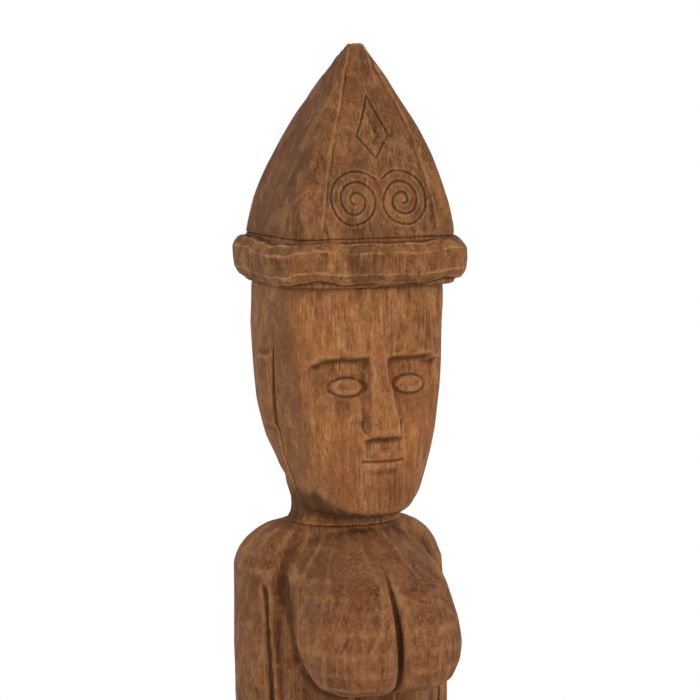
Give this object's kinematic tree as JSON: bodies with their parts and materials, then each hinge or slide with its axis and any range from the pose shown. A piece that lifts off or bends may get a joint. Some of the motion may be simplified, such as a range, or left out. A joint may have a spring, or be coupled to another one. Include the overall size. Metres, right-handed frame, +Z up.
{
  "type": "carved ancestor figure",
  "caption": "Standing ancestor figure carved in wood, in a tall pointed hat with a rolled brim, arms at the sides, on a square plinth.",
  "frame": {"origin": "middle of the underside of the base felt, on the floor", "axes": "+Z up along the figure, -Y the way the figure faces, +X towards its left hand"},
  "size_m": [0.25, 0.25, 1.284],
  "materials": {
    "hat_wood": "bare carved hardwood, brown, rubbed pale on its edges",
    "brim_wood": "bare carved hardwood, brown, rubbed pale on its edges",
    "head_wood": "bare carved hardwood, orange brown, satin from handling",
    "body_wood": "bare carved hardwood, red brown, gouge marks left showing",
    "plinth_wood": "sawn and planed hardwood, dark stained",
    "dowel_wood": "turned birch, bare",
    "screw_steel": "zinc plated",
    "washer_steel": "zinc plated",
    "felt": "pressed wool felt, nearly black"
  },
  "bodies": {
    "root": {"hat_peak": "hat_wood", "hat_brim": "brim_wood", "hat_dowel_left": "dowel_wood", "hat_dowel_right": "dowel_wood", "head": "head_wood", "neck_dowel_left": "dowel_wood", "neck_dowel_right": "dowel_wood", "body": "body_wood", "plinth": "plinth_wood", "foot_screw_left": "screw_steel", "foot_screw_right": "screw_steel", "foot_washer_left": "washer_steel", "foot_washer_right": "washer_steel", "base_felt": "felt"}
  },
  "joints": []
}
